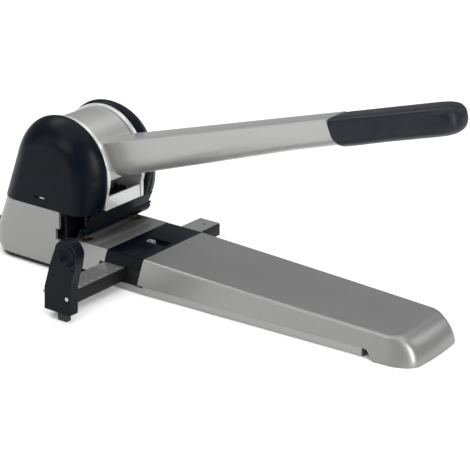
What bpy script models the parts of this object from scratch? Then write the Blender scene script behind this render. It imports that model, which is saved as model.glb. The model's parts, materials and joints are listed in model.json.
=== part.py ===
"""Heavy-duty two-hole paper punch: long foot, domed head, press lever, sliding paper guide.

Frame: +Z up, -Y towards the front (the foot tip and the lever grip), -X is the side of the paper
guide's stop arm. The origin is on the floor, midway between the two punches.
Lengths are written in millimetres and multiplied by MM, so the model itself is in metres.
"""
from math import asin, atan2, cos, hypot, pi, radians, sin, sqrt

import bmesh
import bpy

MM = 0.001
GAP = 0.3            # running gap left between neighbouring pieces
ROUND_SIDES = 24     # sides of a small round piece

# Driving dimensions of the punching geometry
HOLE_SPACING = 80.0      # filing standard: two holes 80 mm apart
EDGE_DISTANCE = 12.0     # hole centre to paper edge
TABLE_Z = 35.0           # top of the base and of the die plate
JAW_Z = 68.0             # ceiling of the paper slot
PUNCH_X = HOLE_SPACING / 2
PUNCH_RADIUS = 3.0
PUNCH_TIP_Z = 44.0       # punch tip with the lever as modelled
HOLDER_Z = 92.0          # underside of the punch holder

# Head: two arch plates carrying the lever axle
PIVOT_Y = 35.0
PIVOT_Z = 104.5
PLATE_IN = 26.0
PLATE_OUT = 31.0
PLATE_RADIUS = 58.2
PLATE_REAR_Y = 97.0
DRUM_RADIUS = 55.5
DRUM_WALL = 3.0
DRUM_HALF = 25.4
AXLE_RADIUS = 8.0
CAP_WALL = 2.5
CAP_RADIUS = 60.8        # widest arch radius of the caps
CAP_DROP = 72.0          # height of the drawn-out front quarter below the axle
CAP_REAR_Y = 112.6       # rear of the caps and of the housing at the joint between them
REAR_CORNER = 30.0       # plan radius of the rear corners
CRANK_X0 = 44.6
CRANK_X1 = 49.0

# Spring-loaded paper presser in the slot
PRESSER_HALF = 58.0
PRESSER_RADIUS = 15.0
PRESSER_Y = 8.0          # where the ski tip becomes the flat sole
PRESSER_SOLE_Z = TABLE_Z + 1.6

# Base and foot
BASE_HALF_TOP = 50.0     # half-width at the top edge beside the guide
BASE_HALF_FLOOR = 65.5   # the drafted sides carried down to the floor
SKIRT_Z = 10.0           # lower edge of the silver skirt
FOOT_REAR_Y = -86.1
FOOT_TIP_Y = -387.0      # top edge of the tip
FOOT_TOE_Y = -411.2      # where the tip meets the floor
FOOT_CORNER_Y = -384.0   # where the straight sides end
STEP_Y0 = -358.0         # the skirt steps down to the floor between these
STEP_Y1 = -370.0
FOOT_CROWN = 1.5         # bow of the tip in plan
FOOT_LENGTH = 301.0      # length over which the foot tapers
FOOT_SLOPE = 8.0 / FOOT_LENGTH
FLOOR_Z0 = 2.0           # underside and top of the plate under the head
FLOOR_Z1 = 6.0
CHANNEL_Z0 = 0.4         # lower and upper edge of the channel under the foot
CHANNEL_Z1 = 9.6
CHANNEL_REAR_Z = 7.6     # the channel is lower where the paper guide passes over it
CHANNEL_WALL = 2.0
CHANNEL_STEP = 1.2       # how far the channel stands back from the skirt edge
CHANNEL_FLOOR = (2.0, 4.0)
CHANNEL_REAR_Y = -30.3
COVER_Y0 = -85.8
COVER_Y1 = -36.8
HOUSING_TOP_Z = TABLE_Z - 3.8

TRAY_REAR_Y = 109.0

# Paper guide: bar and stop arm, shown set for A4 (half of 297 mm)
STOP_FACE_X = -148.5
BAR_END_X = 110.0
BAR_TOP_Z = 22.0
BAR_Y0 = -63.0
BAR_Y1 = -35.5

# Lever
LEVER_RISE = 0.2755      # rise of the lever's top face per unit length (15.4 degrees)
ARM_LENGTH = 281.0
LEVER_LEAN = 0.262       # lean of the lever's cross-sections
GRIP_START_Y = -288.0
GRIP_EDGE_LEAN = 0.42    # the joint between arm and grip slants more


def clear_scene():
    for item in list(bpy.data.objects):
        bpy.data.objects.remove(item, do_unlink=True)


def material(name, color, roughness, metallic):
    mat = bpy.data.materials.new(name)
    mat.use_nodes = True
    shader = mat.node_tree.nodes["Principled BSDF"]
    shader.inputs["Base Color"].default_value = (*color, 1.0)
    shader.inputs["Roughness"].default_value = roughness
    shader.inputs["Metallic"].default_value = metallic
    return mat


def add_object(name, mesh_data, mat, smooth=True):
    mesh = bpy.data.meshes.new(name)
    mesh_data.to_mesh(mesh)
    mesh_data.free()
    if smooth:
        mesh.shade_smooth()
        mesh.set_sharp_from_angle(angle=radians(35))
    obj = bpy.data.objects.new(name, mesh)
    bpy.context.scene.collection.objects.link(obj)
    if mat:
        mesh.materials.append(mat)
    return obj


def place(point, origin):
    """A point in millimetres as metres from the object's own origin."""
    return [(p - o) * MM for p, o in zip(point, origin)]


def finish(name, bm, mat, origin):
    bmesh.ops.recalc_face_normals(bm, faces=bm.faces)
    obj = add_object(name, bm, mat)
    obj.location = [o * MM for o in origin]
    return obj


def skin(bm, rings, closed_around=True):
    """Rows of vertices joined by quads; returns the rows."""
    rows = [[bm.verts.new(p) for p in ring] for ring in rings]
    count = len(rows[0])
    last = count if closed_around else count - 1
    for low, high in zip(rows, rows[1:]):
        for i in range(last):
            j = (i + 1) % count
            bm.faces.new((low[i], low[j], high[j], high[i]))
    return rows


def loft(name, rings, mat, origin=(0, 0, 0)):
    """A solid skinned over closed rings, flat at both ends."""
    bm = bmesh.new()
    rows = skin(bm, [[place(p, origin) for p in ring] for ring in rings])
    bm.faces.new(rows[0])
    bm.faces.new(rows[-1])
    return finish(name, bm, mat, origin)


def shell(name, outer, inner, mat, origin=(0, 0, 0)):
    """A cup: outer and inner rings run from the open rim to the closed end."""
    bm = bmesh.new()
    rows_out = skin(bm, [[place(p, origin) for p in ring] for ring in outer])
    rows_in = skin(bm, [[place(p, origin) for p in ring] for ring in inner])
    bm.faces.new(rows_out[-1])
    bm.faces.new(rows_in[-1])
    rim_out, rim_in = rows_out[0], rows_in[0]
    for i in range(len(rim_out)):
        j = (i + 1) % len(rim_out)
        bm.faces.new((rim_out[i], rim_out[j], rim_in[j], rim_in[i]))
    return finish(name, bm, mat, origin)


def prism(name, outline, axis, low, high, mat, origin=(0, 0, 0)):
    """An outline pushed along an axis. Outline points are the other two coordinates in order."""
    def lift(a, b, t):
        return {"X": (t, a, b), "Y": (a, t, b), "Z": (a, b, t)}[axis]
    rings = [[lift(a, b, t) for a, b in outline] for t in (low, high)]
    return loft(name, rings, mat, origin)


def block(name, low, high, mat, origin=(0, 0, 0)):
    outline = [(low[0], low[1]), (high[0], low[1]), (high[0], high[1]), (low[0], high[1])]
    return prism(name, outline, "Z", low[2], high[2], mat, origin)


def circle(cy, cz, radius, sides=ROUND_SIDES):
    return [(cy + radius * cos(2 * pi * i / sides), cz + radius * sin(2 * pi * i / sides))
            for i in range(sides)]


def arc(cy, cz, radius, start, end, steps):
    """Points on an arc, angles in degrees."""
    return [(cy + radius * cos(radians(start + (end - start) * i / steps)),
             cz + radius * sin(radians(start + (end - start) * i / steps)))
            for i in range(steps + 1)]


def ring_piece(name, center, axis, inner, outer, low, high, mat, origin=(0, 0, 0)):
    """A plain bush: a round tube along an axis."""
    bm = bmesh.new()
    profile = [(inner, low), (outer, low), (outer, high), (inner, high)]
    rows = []
    for radius, along in profile:
        ring = []
        for a, b in circle(center[0], center[1], radius):
            point = {"X": (along, a, b), "Z": (a, b, along)}[axis]
            ring.append(bm.verts.new(place(point, origin)))
        rows.append(ring)
    count = len(rows[0])
    for k in range(4):
        here, there = rows[k], rows[(k + 1) % 4]
        for i in range(count):
            j = (i + 1) % count
            bm.faces.new((here[i], here[j], there[j], there[i]))
    return finish(name, bm, mat, origin)


def cut(obj, cutter):
    """Take the cutter out of the object; the cutter itself is only a guide."""
    cutter.hide_render = True
    cutter.hide_viewport = False
    cutter.display_type = "WIRE"
    mod = obj.modifiers.new("cut_" + cutter.name, "BOOLEAN")
    mod.operation = "DIFFERENCE"
    mod.solver = "EXACT"
    mod.object = cutter


# ---------------------------------------------------------------- base and foot

def table_height(y):
    """Top of the foot: level beside the guide, then falling gently to the tip."""
    return TABLE_Z + min(0.0, (y - FOOT_REAR_Y) * FOOT_SLOPE)


def taper(y):
    """Share of the foot's length gone by at y."""
    return max(0.0, (FOOT_REAR_Y - y) / FOOT_LENGTH)


def half_width_top(y):
    """Half-width of the foot's top face."""
    return BASE_HALF_TOP - 3.5 * taper(y) - 4.4 * taper(y) ** 2


def half_width_floor(y):
    """Half-width of the sides carried down to the floor; they flare again at the tip."""
    flare = min(1.5, max(0.0, (-320.0 - y) / 40.0))
    return BASE_HALF_FLOOR - 13.0 * taper(y) - 4.5 * taper(y) ** 2 + flare


def side_half_width(y, z):
    """Half-width of the drafted side at height z."""
    top = table_height(y)
    share = (top - z) / top
    return half_width_top(y) + (half_width_floor(y) - half_width_top(y)) * share


def skirt_height(y):
    """The skirt runs level, then steps down to the floor near the tip in a soft curve."""
    if y > STEP_Y0:
        return SKIRT_Z
    if y < STEP_Y1:
        return 0.0
    return SKIRT_Z * 0.5 * (1 + cos(pi * (STEP_Y0 - y) / (STEP_Y0 - STEP_Y1)))


def foot_level(share, inset):
    """Plan ring of the foot from the skirt (share 0) to the top face (share 1)."""
    top_z = table_height(FOOT_TIP_Y) - inset
    toe = FOOT_TOE_Y + (FOOT_TIP_Y - FOOT_TOE_Y) * share ** 2.2 + inset
    ring = []
    stations = (FOOT_REAR_Y - inset, -140, -200, -260, -320, -354, STEP_Y0, -361, -364, -367,
                STEP_Y1, -377, FOOT_CORNER_Y)
    for y in stations:
        low = skirt_height(y)
        z = low + (table_height(y) - inset - low) * share
        ring.append((side_half_width(y, z) - inset, y, z))
    half = ring[-1][0]
    depth = FOOT_CORNER_Y - toe - FOOT_CROWN
    corner = min(20.0, max(depth, 4.0))
    for i in range(1, 7):
        angle = radians(90 * i / 6)
        x = half - corner * (1 - cos(angle))
        ring.append((x, FOOT_CORNER_Y - depth * sin(angle), top_z * share))
    for i in range(1, 4):
        x = (half - corner) * (1 - i / 3)
        ring.append((x, toe + FOOT_CROWN * (x / (half - corner)) ** 2, top_z * share))
    left = [(-x, y, z) for x, y, z in reversed(ring[:-1])]
    return ring + left


def make_foot(mats):
    outer = [foot_level(share, 0.0) for share in (0.0, 0.35, 0.7, 0.9, 0.97, 1.0)]
    inner = [foot_level(share, 3.0) for share in (0.0, 0.7, 1.0)]
    shell("foot_shell", outer, inner, mats["silver"])


def channel_inner_half(y):
    return side_half_width(y, SKIRT_Z) - CHANNEL_STEP - CHANNEL_WALL


def channel_outline(inset, rear_y):
    half = [(side_half_width(y, SKIRT_Z) - inset, y)
            for y in (-355 + inset, -320, -260, -200, -140, -86, rear_y)]
    return half + [(-x, y) for x, y in reversed(half)]


def make_base(mats):
    """Sheet channel under the foot, plastic floor under the head, mats and screws."""
    channel = prism("base_pan", channel_outline(CHANNEL_STEP, CHANNEL_REAR_Y), "Z",
                    CHANNEL_Z0, CHANNEL_Z1, mats["sheet"])
    inside = channel_outline(CHANNEL_STEP + CHANNEL_WALL, CHANNEL_REAR_Y + 5)
    cut(channel, prism("channel_top", inside, "Z", CHANNEL_FLOOR[1], 20, None))
    cut(channel, prism("channel_under", inside, "Z", -5, CHANNEL_FLOOR[0], None))
    cut(channel, block("guide_pass", (-80, -92, CHANNEL_REAR_Z), (80, 0, 20), None))

    front_y = CHANNEL_REAR_Y + GAP
    side_inset = 4.0
    half = [(side_half_width(y, FLOOR_Z1) - side_inset, y) for y in (front_y, 14)]
    half += [(x, y) for x, y in housing_path(FLOOR_Z1, 1.5) if x > 0]
    outline = half + [(-x, y) for x, y in reversed(half)]
    prism("head_floor", outline, "Z", FLOOR_Z0, FLOOR_Z1, mats["black"])

    mat_top = FLOOR_Z0 - GAP
    block("rear_mat", (-46, -70, 0), (46, 88, mat_top), mats["rubber"])
    block("front_mat", (-34, -350, 0), (34, -320, mat_top), mats["rubber"])
    for i, (x, y) in enumerate([(-38, -300), (38, -300), (-53, -20), (53, -20)]):
        prism(f"pan_screw_{i + 1}", circle(x, y, 3.5, 12), "Z", 0.5, mat_top, mats["steel"])
    make_guide_housing(mats)
    make_base_shell(mats)
    make_die_plate(mats)
    make_chip_tray(mats)


def make_guide_housing(mats):
    """Black housing with the tunnel for the bar, and the cover plate over it."""
    middle_y = -60.0
    narrow = channel_inner_half(middle_y) - 2 * GAP
    ledge, high = CHANNEL_REAR_Z + GAP, HOUSING_TOP_Z
    section = [(narrow, CHANNEL_FLOOR[1] + GAP), (narrow, ledge)]
    section += [(side_half_width(middle_y, z) - 3.6, z) for z in (ledge, high)]
    outline = section + [(-x, z) for x, z in reversed(section)]
    housing = prism("guide_housing", outline, "Y", COVER_Y0, -31.0, mats["black"])
    cut(housing, block("bar_tunnel", (-80, BAR_Y0 - 2.9, 7.8), (80, BAR_Y1 + 0.7, 23.2), None))
    cut(housing, block("reading_well", (-7, -79.5, 22.0), (5, -51.5, 50), None))

    lip_z = 23.6
    outer = [(side_half_width(middle_y, z), z) for z in (lip_z, TABLE_Z)]
    inner = [(side_half_width(middle_y, z) - 3.2, z) for z in (TABLE_Z - 3.5, lip_z)]
    mirror = [(-x, z) for x, z in reversed(outer)]
    outline = outer + mirror + [(-x, z) for x, z in reversed(inner)] + inner
    plate = prism("guide_cover_plate", outline, "Y", COVER_Y0, COVER_Y1, mats["slate"])
    cut(plate, block("window_cut", (-7, -79.5, 28), (5, -51.5, 40), None))
    block("indicator_lens", (-5, -60, 28.2), (2.5, -52, 34.2), mats["clear"])


def make_base_shell(mats):
    """Silver apron in front of the slot; a cup opened at the back and round the die plate."""
    front, back = -36.5, 18.4

    def ring(z, inset):
        x = side_half_width(0, z) - inset
        rear = back - inset
        return [(x, front + inset, z), (x, rear, z), (-x, rear, z), (-x, front + inset, z)]

    outer = [ring(SKIRT_Z, 0), ring(30, 0), ring(TABLE_Z, 0)]
    inner = [ring(SKIRT_Z, 3), ring(28, 3), ring(TABLE_Z - 3, 3)]
    apron = shell("base_shell", outer, inner, mats["silver"])
    cut(apron, block("die_window", (-47.0, -20.0, 20), (47.0, 40, 50), None))
    cut(apron, block("back_opening", (-47.0, 12.0, 5), (47.0, 40, 50), None))
    clear_y = BAR_Y1 + 5.2
    cut(apron, block("bar_pass", (-80, -60, 5), (80, clear_y, BAR_TOP_Z + 2 * GAP), None))
    half = [(side_half_width(0, z) - 3.2, z) for z in (5, HOUSING_TOP_Z + GAP)]
    outline = half + [(-x, z) for x, z in reversed(half)]
    cut(apron, prism("guide_recess", outline, "Y", -60, clear_y, None))


def make_die_plate(mats):
    low = 29.5
    plate = block("die_plate", (-46.6, -19.6, low), (46.6, 96, TABLE_Z - 0.1), mats["silver"])
    for side, word in ((-1, "left"), (1, "right")):
        x = side * PUNCH_X
        rings = [[(cx, cy, z) for cx, cy in circle(x, 0, 6.3)] for z in (20, 45)]
        cut(plate, loft("die_hole_" + word, rings, None))
        ring_piece("die_bush_" + word, (x, 0), "Z", PUNCH_RADIUS + 0.2, 6.0, low, TABLE_Z - 0.1,
                   mats["bronze"])


def make_chip_tray(mats):
    """Open-topped tray for the paper chips; its tall back wall is the pull."""
    low = FLOOR_Z1 + GAP
    tray = block("chip_tray", (-45, -27, low), (45, TRAY_REAR_Y, 28.8), mats["black"])
    cut(tray, block("tray_inside", (-43, -25, low + 2.2), (43, TRAY_REAR_Y - 2.0, 40), None))


# ---------------------------------------------------------------- head housing

def housing_rear(z):
    """Rear of the head housing on the middle plane: it swells outwards and tucks in at the floor."""
    table = [(4.0, 119.0), (8.0, 123.5), (13.0, 126.3), (20.0, 127.0), (28.0, 126.2), (36.0, 123.8),
             (48.0, 119.2), (60.0, 114.6), (JAW_Z, CAP_REAR_Y - 0.6)]
    for (z0, y0), (z1, y1) in zip(table, table[1:]):
        if z <= z1:
            return y0 + (y1 - y0) * (z - z0) / (z1 - z0)
    return table[-1][1]


def housing_path(z, inset):
    """Plan path of the head housing at height z: side, round rear corner, back, other side."""
    half = 63.0 + (JAW_Z - z) * 0.055 - inset
    rear = housing_rear(z) - inset
    corner = REAR_CORNER - inset
    path = [(half, 18.8), (half, 50.0), (half, rear - corner)]
    path += [(half - corner + corner * cos(radians(a)), rear - corner + corner * sin(radians(a)))
             for a in (15, 30, 45, 60, 75, 90)]
    return path + [(-x, y) for x, y in reversed(path)]


def make_head_housing(mats):
    heights = [FLOOR_Z1 + GAP, 10, 15, 20, 28, 36, 52, JAW_Z - GAP]
    rings = []
    for z in heights:
        outer = [(x, y, z) for x, y in housing_path(z, 0.0)]
        inner = [(x, y, z) for x, y in housing_path(z, 3.0)]
        rings.append(outer + list(reversed(inner)))
    house = loft("head_housing", rings, mats["silver"])
    cut(house, block("tray_mouth", (-50, 80, 0), (50, 150, 37), None))
    cut(house, block("front_notch", (-80, 10, 37), (80, 23.5, 49), None))

    # Tray front: closes the mouth, fixed to the tray
    path = [(x, y) for x, y in housing_path(24, 0.4) if abs(x) < 49.9 and y > 60]
    front_y = TRAY_REAR_Y + 0.4
    outline = path + [(-49.4, front_y), (49.4, front_y)]
    prism("tray_front", outline, "Z", 6.4, 36.6, mats["black"])


def make_back_stop(mats):
    y = EDGE_DISTANCE
    block("back_stop", (-59.0, y, TABLE_Z + GAP), (59.0, y + 3.0, JAW_Z - GAP), mats["black"])


# ---------------------------------------------------------------- arch frame

def touch_angle(radius, rear_y, low_z):
    """Angle at which the straight rear flank rising from (rear_y, low_z) touches the arch."""
    dy, dz = rear_y - PIVOT_Y, low_z - PIVOT_Z
    turn = asin(min(1.0, radius / hypot(dy, dz)))
    return (atan2(dz, dy) + pi / 2 - turn) * 180 / pi


def make_frame_plates(mats):
    touch = touch_angle(PLATE_RADIUS, PLATE_REAR_Y, JAW_Z)
    front_angle = 180 + 18.5
    outline = arc(PIVOT_Y, PIVOT_Z, PLATE_RADIUS, touch, front_angle, 34)
    slot_front_y, slot_back_y = -19.5, 15.6
    outline += [(slot_front_y, JAW_Z), (slot_back_y, JAW_Z), (slot_back_y, TABLE_Z + GAP),
                (PLATE_REAR_Y - 4.0, TABLE_Z + GAP), (PLATE_REAR_Y, JAW_Z)]
    for side, word in ((-1, "left"), (1, "right")):
        low, high = sorted((side * PLATE_IN, side * PLATE_OUT))
        plate = prism("frame_plate_" + word, outline, "X", low, high, mats["rim"])
        hole = prism("axle_hole_" + word, circle(PIVOT_Y, PIVOT_Z, 12.3), "X", low - 2, high + 2, None)
        cut(plate, hole)
        ring_piece("axle_bush_" + word, (PIVOT_Y, PIVOT_Z), "X", AXLE_RADIUS + GAP, 12.0,
                   low - 0.2, high + 0.2, mats["bronze"])

    span = PLATE_IN - GAP
    block("front_cross_plate", (-span, -19.0, JAW_Z), (span, -16.2, 82.6), mats["rim"])
    rear = arc(PIVOT_Y, PIVOT_Z, PLATE_RADIUS, 24, touch, 8) + [(PLATE_REAR_Y, JAW_Z)]
    rear += [(PLATE_REAR_Y - 2.6, JAW_Z)]
    rear += arc(PIVOT_Y, PIVOT_Z, DRUM_RADIUS + 0.5, touch, 24, 8)
    prism("rear_cover", rear, "X", -span, span, mats["pale"])


def cap_radius(x):
    """Arch radius of the domed cap at a distance x from the middle of the head."""
    points = [(31.5, 58.6), (33.5, 60.3), (37, CAP_RADIUS), (42, 59.8), (47, 57.4), (52, 53.4),
              (57, 47.8), (61, 40.5), (63.4, 33.0)]
    for (x0, r0), (x1, r1) in zip(points, points[1:]):
        if x <= x1:
            return r0 + (r1 - r0) * (x - x0) / (x1 - x0)
    return points[-1][1]


def cap_low_radius(x):
    """The same at the cap's lower edge, where the dome has become a box with round corners."""
    corner, start = 22.0, 41.4
    if x <= start:
        return cap_radius(x)
    return CAP_RADIUS - corner + sqrt(corner ** 2 - min(x - start, corner) ** 2)


def cap_outline(x, inset, low_z):
    """Side view of the cap at a distance x from the middle: straight rear flank, round top,
    front quarter drawn out downwards."""
    radius = cap_radius(x) - inset
    fuller = max(0.0, cap_low_radius(x) - cap_radius(x))
    beyond = min(max(0.0, x - 33.4), REAR_CORNER)
    rear_y = CAP_REAR_Y - inset - REAR_CORNER + sqrt(REAR_CORNER ** 2 - beyond ** 2)
    touch = touch_angle(radius, rear_y, low_z)
    points = arc(PIVOT_Y, PIVOT_Z, radius, touch, 180, 20)
    low = asin((PIVOT_Z - low_z) / CAP_DROP)
    for i in range(1, 7):
        share = i / 6
        reach = radius + fuller * share ** 0.7
        points.append((PIVOT_Y - reach * cos(low * share), PIVOT_Z - CAP_DROP * sin(low * share)))
    middle = (points[-1][0] + rear_y) / 2
    points += [(middle, low_z), (rear_y, low_z)]
    return points


def make_caps(mats):
    stations = [31.5, 33.5, 37, 42, 47, 52, 57, 61, 63.4]
    for side, word in ((-1, "left"), (1, "right")):
        outer = [[(side * x, y, z) for y, z in cap_outline(x, 0.0, JAW_Z)] for x in stations]
        inner = [[(side * min(x, 61.0), y, z) for y, z in cap_outline(x, CAP_WALL, JAW_Z + CAP_WALL)]
                 for x in stations[:-1]]
        cap = shell("cap_" + word, outer, inner, mats["slate"])
        rings = [[(cx, cy, z) for cx, cy in circle(side * PUNCH_X, 0, 6.3)] for z in (60, 75)]
        cut(cap, loft("punch_hole_" + word, rings, None))
        ring_piece("punch_guide_" + word, (side * PUNCH_X, 0), "Z", PUNCH_RADIUS + 0.2, 6.0,
                   JAW_Z, 79.0, mats["bronze"])


# ---------------------------------------------------------------- lever and drive

def make_drum(mats, pivot):
    start, end = -12.0, 184.7
    outer = arc(PIVOT_Y, PIVOT_Z, DRUM_RADIUS, start, end, 36)
    inner = arc(PIVOT_Y, PIVOT_Z, DRUM_RADIUS - DRUM_WALL, end, start, 36)
    prism("drum_skin", outer + inner, "X", -DRUM_HALF, DRUM_HALF, mats["pale"], pivot)
    reach = DRUM_RADIUS - DRUM_WALL - GAP
    for side, word in ((-1, "left"), (1, "right")):
        low, high = sorted((side * 21.0, side * 24.5))
        outline = arc(PIVOT_Y, PIVOT_Z, reach, start, end, 28)
        outline += arc(PIVOT_Y, PIVOT_Z, 16.0, 215, 325, 6)
        cheek = prism("hub_cheek_" + word, outline, "X", low, high, mats["steel"], pivot)
        hole = prism("cheek_bore_" + word, circle(PIVOT_Y, PIVOT_Z, AXLE_RADIUS + GAP), "X",
                     low - 2, high + 2, None, pivot)
        cut(cheek, hole)
    prism("lever_axle", circle(PIVOT_Y, PIVOT_Z, AXLE_RADIUS), "X", -50, 50, mats["steel"], pivot)


def make_cranks(mats, pivot):
    """Crank arms on the axle ends; their pins work in the slots of the punch holders."""
    for side, word in ((-1, "left"), (1, "right")):
        low, high = sorted((side * CRANK_X0, side * CRANK_X1))
        outline = arc(PIVOT_Y, PIVOT_Z, 14.0, -100, 100, 12) + arc(0, PIVOT_Z, 6.0, 100, 260, 8)
        crank = prism("crank_" + word, outline, "X", low, high, mats["dark_steel"], pivot)
        hole = prism("crank_bore_" + word, circle(PIVOT_Y, PIVOT_Z, AXLE_RADIUS + GAP), "X",
                     low - 2, high + 2, None, pivot)
        cut(crank, hole)
        low, high = sorted((side * 34.5, side * (CRANK_X0 - GAP)))
        prism("crank_pin_" + word, circle(0, PIVOT_Z, 3.0, 16), "X", low, high,
              mats["dark_steel"], pivot)
        low, high = sorted((side * 50.3, side * 52.0))
        prism("axle_clip_" + word, circle(PIVOT_Y, PIVOT_Z, 10.5), "X", low, high,
              mats["dark_steel"], pivot)


def make_punches(mats):
    for side, word in ((-1, "left"), (1, "right")):
        origin = (side * PUNCH_X, 0, PUNCH_TIP_Z)
        low, high = sorted((side * 34.0, side * 44.0))
        holder = block("punch_holder_" + word, (low, -8.0, HOLDER_Z), (high, 14.5, PIVOT_Z + 8.0),
                       mats["dark_steel"], origin)
        slot = block("holder_slot_" + word, (low - 2, -3.6, PIVOT_Z - 5.4),
                     (high + 2, 10.6, PIVOT_Z + 3.8), None)
        cut(holder, slot)
        rings = [[(cx, cy, z) for cx, cy in circle(side * PUNCH_X, 0, PUNCH_RADIUS)]
                 for z in (PUNCH_TIP_Z, HOLDER_Z - GAP)]
        loft("punch_pin_" + word, rings, mats["dark_steel"], origin)


def lever_top(y):
    """Height of the lever's top face."""
    return 145.5 + LEVER_RISE * (-30.0 - y)


def lever_section(y, half, depth, lean=LEVER_LEAN, sides=5):
    """Flat top, upright flanks and a deep rounded belly; the section leans along the lever."""
    top = lever_top(y)
    points = [(half - 1.5, top), (half, top - 1.5)]
    for i in range(sides + 1):
        angle = radians(90 * i / sides)
        points.append((half * cos(angle), top - depth * 0.5 - depth * 0.5 * sin(angle)))
    left = [(-x, z) for x, z in reversed(points[:-1])]
    return [(x, y + (z - top) * lean, z) for x, z in points + left]


def lowered(ring, drop):
    return [(x, y, z - drop) for x, y, z in ring]


def arm_depth(y):
    """The arm gets shallower and narrower from the drum to the grip."""
    return 40.4 + 13.7 * y / ARM_LENGTH


def arm_half(y):
    return 20.0 + 1.8 * y / ARM_LENGTH


def spigot(y, inset, lean=LEVER_LEAN):
    """Section of the tube that carries the grip."""
    return lowered(lever_section(y, 13.5 - inset, 19.0 - 2 * inset, lean), 4.0 + inset)


def make_lever(mats, pivot):
    stations = (-8.0, -70.0, -150.0, -230.0)
    outer = [lever_section(y, arm_half(y), arm_depth(y)) for y in stations]
    end = GRIP_START_Y + 0.6
    outer += [lever_section(end, arm_half(end), arm_depth(end), GRIP_EDGE_LEAN)]
    outer += [spigot(end - GAP, 0.0, GRIP_EDGE_LEAN), spigot(-396.0, 0.0)]
    inner = [lowered(lever_section(y, arm_half(y) - 2.5, arm_depth(y) - 5.0), 2.5) for y in stations]
    inner += [spigot(-275.0, 2.0), spigot(-392.0, 2.0)]
    arm = shell("lever_arm", outer, inner, mats["pale"], pivot)
    cut(arm, prism("drum_round", circle(PIVOT_Y, PIVOT_Z, DRUM_RADIUS + GAP, 96), "X", -40, 40,
                   None, pivot))
    make_grip(mats, pivot)


def make_grip(mats, pivot):
    """Moulded sleeve over the end of the arm, with a slanted start and a rounded closed end."""
    table = [(GRIP_START_Y, 17.8, 27.2, 0.5, GRIP_EDGE_LEAN), (-290.0, 18.6, 28.6, 0.1, GRIP_EDGE_LEAN),
             (-330.0, 18.8, 28.8, 0.0, LEVER_LEAN), (-370.0, 18.9, 28.8, 0.0, LEVER_LEAN),
             (-395.0, 18.8, 28.6, 0.0, LEVER_LEAN), (-406.0, 18.0, 27.4, 0.8, LEVER_LEAN),
             (-414.0, 15.8, 24.2, 2.5, LEVER_LEAN), (-420.0, 11.8, 18.4, 5.7, LEVER_LEAN),
             (-423.0, 5.0, 8.0, 10.9, LEVER_LEAN)]
    outer = [lowered(lever_section(y, half, depth, lean), drop) for y, half, depth, drop, lean in table]
    inner = [spigot(GRIP_START_Y, -0.4, GRIP_EDGE_LEAN), spigot(-398.0, -0.4)]
    shell("lever_grip", outer, inner, mats["slate"], pivot)


# ---------------------------------------------------------------- paper presser

def presser_curve(radius):
    """Side profile of the presser: a quarter-round ski tip running into the flat sole."""
    return arc(PRESSER_Y, PRESSER_SOLE_Z + PRESSER_RADIUS, radius, 180, 270, 10)


def make_presser(mats):
    thick = 2.0
    lower = presser_curve(PRESSER_RADIUS)
    upper = list(reversed(presser_curve(PRESSER_RADIUS - thick)))
    rear_y = EDGE_DISTANCE - 0.6
    outline = lower + [(rear_y, PRESSER_SOLE_Z), (rear_y, PRESSER_SOLE_Z + thick)] + upper
    origin = (0, 0, TABLE_Z)
    presser = prism("paper_presser", outline, "X", -PRESSER_HALF, PRESSER_HALF, mats["slate"], origin)
    for side, word in ((-1, "left"), (1, "right")):
        x = side * PUNCH_X
        cut(presser, block("punch_slit_" + word, (x - 3.7, -5.5, 30), (x + 3.7, 4.2, 56), None))
    span = PLATE_IN - GAP
    bracket = block("rod_bracket", (-span, 1.0, 72.0), (span, 11.2, 76.0), mats["black"])
    for side, word in ((-1, "left"), (1, "right")):
        x = side * 14.0
        cut(bracket, loft("rod_hole_" + word,
                          [[(cx, cy, z) for cx, cy in circle(x, 6.0, 2.3)] for z in (65, 85)], None))
        rings = [[(cx, cy, z) for cx, cy in circle(x, 6.0, 2.0, 16)] for z in (39.4, 82.0)]
        loft("presser_rod_" + word, rings, mats["dark_steel"], (x, 6.0, 39.4))
        make_spring("presser_spring_" + word, x, 6.0, 39.6, 71.7, mats)


def make_spring(name, x, y, low, high, mats):
    """Round-wire coil spring as a tube swept along a helix."""
    wire, mean = 0.5, 3.6
    turns, per_turn, sides = 6, 12, 5
    bm = bmesh.new()
    rings = []
    steps = turns * per_turn
    pitch = (high - low - 2 * wire) / turns
    for i in range(steps + 1):
        angle = 2 * pi * i / per_turn
        center_z = low + wire + pitch * i / per_turn
        out = (cos(angle), sin(angle))
        ring = []
        for k in range(sides):
            turn = 2 * pi * k / sides
            radius = mean + wire * cos(turn)
            ring.append(place((x + out[0] * radius, y + out[1] * radius,
                               center_z + wire * sin(turn)), (x, y, low)))
        rings.append(ring)
    rows = skin(bm, rings)
    bm.faces.new(rows[0])
    bm.faces.new(rows[-1])
    finish(name, bm, mats["dark_steel"], (x, y, low))


def make_slot_guard(mats):
    """Sloping apron that hangs from the cross plate in front of the punches."""
    thick = 1.4
    front = [(-17.0, JAW_Z - GAP), (-14.6, 63.0), (-12.3, 58.2), (-10.4, 53.4)]
    back = [(y + thick, z) for y, z in reversed(front)]
    prism("slot_guard", front + back, "X", -50.0, 50.0, mats["slate"])


# ---------------------------------------------------------------- paper guide

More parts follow.
